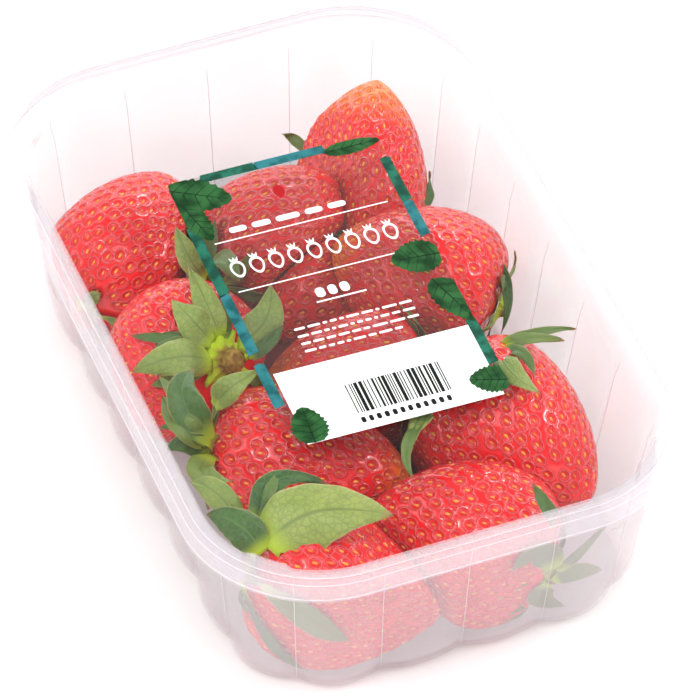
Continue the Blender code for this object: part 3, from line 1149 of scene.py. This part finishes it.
# Frame strips (one edge's start and end, mm from the label's middle) in two inks
GREEN_STRIPS = (((-14.5, 36.2), (-3.8, 36.2)), ((20.7, 30.0), (20.7, 17.6)),
                ((-20.7, 24.0), (-20.7, 5.0)), ((20.7, -16.5), (20.7, -28.5)))
TEAL_STRIPS = (((-3.6, 36.2), (10.4, 36.2)), ((20.7, 17.2), (20.7, 7.6)),
               ((-20.7, 4.8), (-20.7, -11.4)), ((-20.7, -14.6), (-20.7, -26.0)))
STRIP_WIDTH = 2.2

# Printed leaves: stem, tip, width
PRINTED_LEAVES = (
    ((-23.0, 35.0), (-10.8, 29.0), 9.6),
    ((-20.6, 31.0), (-18.0, 19.6), 5.6),
    ((10.0, 35.0), (21.6, 35.2), 4.2),
    ((22.0, 2.0), (12.0, 2.8), 9.4),
    ((17.6, -4.0), (22.2, -17.4), 7.6),
    ((22.6, -33.6), (14.8, -31.4), 7.4),
    ((-17.6, -37.4), (-17.0, -27.6), 7.4),
)


def edge_strip(start, end):
    """One frame strip with uneven ends."""
    start, end = np.array(start), np.array(end)
    along = (end - start) / np.linalg.norm(end - start)
    across = np.array([-along[1], along[0]]) * STRIP_WIDTH / 2
    return [start - across, end - across + along * 0.5, end + across * 0.4, end + across,
            start + across * 0.9, start - along * 0.3]


# Rules as boxes, and lines of dashes: from u, to u, v, height, shortest, longest, gap (mm)
RULES = ((-18.0, 18.3, 17.0, 18.6), (-18.0, 4.6, 13.4, 4.9), (-5.0, -2.9, 5.0, -2.5))
HEAD_LINE = (-14.2, 12.4, 20.2, 1.5, 2.2, 5.0, 1.1)
MIDDLE_LINE = (-4.4, 4.4, -1.7, 2.6, 1.6, 2.0, 0.7)
SMALL_LINES = [(-11.5, end, -8.5 - 2.0 * row, 0.6, 0.7, 3.0, 0.5)
               for row, end in enumerate((12.0, 12.0, 12.0, 9.0))]
BARS_FOOT = (-7.6, 10.8, -35.2, 1.5, 0.8, 0.9, 0.7)
BARS_LOW, BARS_HIGH = -32.6, -24.9
BAR_WIDTHS = (0.22, 0.22, 0.44, 0.66)
BAR_GAPS = (0.22, 0.33, 0.55)
BAND_TOP = -17.8
TITLE_FRUITS = 9

# Inks: two sRGB colours, patches a metre, and how opaque the ink is
INKS = {
    "label_tint": ((92, 100, 96), (100, 108, 104), 60.0, 0.08),
    "print_white": ((255, 255, 255), (250, 250, 250), 80.0),
    "print_black": ((12, 12, 12), (20, 20, 20), 80.0),
    "print_red": ((200, 22, 30), (176, 18, 28), 200.0),
    "print_green": ((34, 112, 90), (14, 70, 54), 420.0),
    "print_teal": ((46, 124, 130), (18, 84, 88), 420.0),
    "print_leaf": ((6, 56, 18), (44, 98, 50), 260.0),
    "print_vein": ((2, 32, 10), (6, 44, 18), 200.0),
}


def white_shapes(luck):
    """Rules, a row of outlined fruit, and dashes where lettering would stand."""
    outlines = [box_outline(*rule) for rule in RULES]
    for i in range(TITLE_FRUITS):
        outlines += fruit_outline(-16.0 + 3.85 * i, 10.6, 4.6)
    for line in (HEAD_LINE, MIDDLE_LINE, *SMALL_LINES):
        outlines += dashes(luck, *line)
    return outlines


def plain_bars(luck):
    """Upright bars of random widths, which encode nothing, over a row of blocks."""
    outlines = []
    u, end = BARS_FOOT[:2]
    while u < end:
        wide = luck.choice(BAR_WIDTHS)
        outlines.append(box_outline(u, BARS_LOW, u + wide, BARS_HIGH))
        u += wide + luck.choice(BAR_GAPS)
    return outlines + dashes(luck, *BARS_FOOT)


def build_label():
    """A clear tinted sticker: a broken leafy frame, plain shapes for print, and a white band."""
    half_u, half_v = LABEL_WIDTH / 2, LABEL_LENGTH / 2
    luck = random.Random(11)
    inks = {name: print_material(name, *row) for name, row in INKS.items()}
    panel = box_outline(-half_u, -half_v, half_u, half_v)
    band = box_outline(-half_u + 2.4, -half_v, half_u - 1.8, BAND_TOP)
    veins = [outline for row in PRINTED_LEAVES for outline in leaf_veins(*row)]
    printed("label_panel", [panel], 0, inks["label_tint"], ("label",))
    printed("label_strips_green", [edge_strip(*ends) for ends in GREEN_STRIPS], 2, inks["print_green"])
    printed("label_strips_teal", [edge_strip(*ends) for ends in TEAL_STRIPS], 2, inks["print_teal"])
    printed("label_band", [band], 3, inks["print_white"])
    printed("label_leaves", [leaf_outline(*row) for row in PRINTED_LEAVES], 4, inks["print_leaf"])
    printed("label_veins", veins, 5, inks["print_vein"])
    printed("label_shapes", white_shapes(luck), 3, inks["print_white"])
    printed("label_mark", [fruit_shape(-1.6, 28.0, 3.6)], 3, inks["print_red"])
    printed("label_bars", plain_bars(luck), 4, inks["print_black"])


# ---------------------------------------------------------------- stage, lights and camera
CAMERA_AZIMUTH = -22.0
CAMERA_ELEVATION = 45.5
CAMERA_ROLL = 0.65
CAMERA_DISTANCE = 1.2
CAMERA_TARGET = (2.35 * MM, -2.2 * MM, 20.0 * MM)
CAMERA_LENS = 322.8
CAMERA_SENSOR = 36.0

# White softboxes: place, size in metres, and radiance
SOFTBOXES = (
    ("softbox_back", (0.35, 1.00, 0.30), (1.6, 0.45), 3.0),
    ("softbox_right", (0.90, -0.20, 0.60), (0.7, 0.6), 2.8),
    ("softbox_left", (-0.75, 0.35, 0.70), (0.6, 0.6), 2.2),
    ("softbox_top", (-0.15, -0.40, 1.05), (0.7, 0.7), 2.4),
    ("softbox_spot", (0.62, 0.71, 0.74), (0.16, 0.16), 24.0),
    ("softbox_high", (-0.55, -0.20, 1.00), (0.16, 0.16), 24.0),
    ("softbox_side", (0.85, -0.35, 0.70), (0.16, 0.16), 24.0),
    ("softbox_low_left", (-0.95, 0.05, 0.25), (0.6, 0.35), 4.0),
    ("softbox_front", (0.05, -1.10, 0.22), (1.6, 0.4), 2.0),
)
WORLD_STRENGTH = 0.48
LAMP_TARGET = (0, 0, 0.02)
FLOOR_HALF = 3


def aim(obj, target):
    """Turn a lamp to face a point."""
    obj.rotation_euler = (Vector(target) - obj.location).to_track_quat("-Z", "Y").to_euler()


def area_light(name, place, size, radiance):
    """A white rectangular softbox aimed at the punnet; its power follows from its radiance."""
    light = bpy.data.lights.new(name, "AREA")
    light.shape = "RECTANGLE"
    light.size, light.size_y = size
    light.energy = radiance * pi * size[0] * size[1]
    obj = bpy.data.objects.new(name, light)
    bpy.context.scene.collection.objects.link(obj)
    obj.location = place
    aim(obj, LAMP_TARGET)


def build_stage():
    """A pale floor, soft white light, and a long lens from above the near left corner."""
    corners = [(x * FLOOR_HALF, y * FLOOR_HALF, 0) for x, y in ((-1, -1), (1, -1), (1, 1), (-1, 1))]
    floor = mesh_object("floor", corners, [(0, 1, 2, 3)], floor_material(), smooth=False)
    for name, place, size, radiance in SOFTBOXES:
        area_light(name, place, size, radiance)
    world = bpy.data.worlds.new("studio")
    world.use_nodes = True
    world.node_tree.nodes["Background"].inputs["Color"].default_value = (1, 1, 1, 1)
    world.node_tree.nodes["Background"].inputs["Strength"].default_value = WORLD_STRENGTH
    bpy.context.scene.world = world
    bpy.context.scene.view_settings.view_transform = "Standard"

    data = bpy.data.cameras.new("camera")
    data.lens = CAMERA_LENS
    data.sensor_width = CAMERA_SENSOR
    data.clip_end = 20.0
    camera = bpy.data.objects.new("camera", data)
    bpy.context.scene.collection.objects.link(camera)
    azimuth, elevation = radians(CAMERA_AZIMUTH), radians(CAMERA_ELEVATION)
    back = Vector((sin(azimuth) * cos(elevation), -cos(azimuth) * cos(elevation), sin(elevation)))
    camera.location = Vector(CAMERA_TARGET) + back * CAMERA_DISTANCE
    rotation = back.to_track_quat("Z", "Y").to_matrix()
    camera.rotation_euler = (Matrix.Rotation(radians(CAMERA_ROLL), 3, back) @ rotation).to_euler()
    bpy.context.scene.camera = camera


# ---------------------------------------------------------------- everything
def main():
    """Build every piece, then the stage."""
    flesh = flesh_material()
    berries = [Berry(name, *row) for name, row in BERRIES.items()]
    part_neighbours(berries)
    seeds = []
    for berry in berries:
        obj, places = make_flesh(berry, flesh)
        finish_piece(obj, "berry_flesh")
        seeds.append(places)
    make_seeds(seeds, seed_material())
    make_calyxes(berries, leaf_material(), stem_material())
    make_core(core_material())
    make_tray(tray_material())
    edge = thick_edge_highlight_material()
    make_beads(edge)
    make_creases(edge)
    make_film(film_material())
    build_label()
    build_stage()


main()
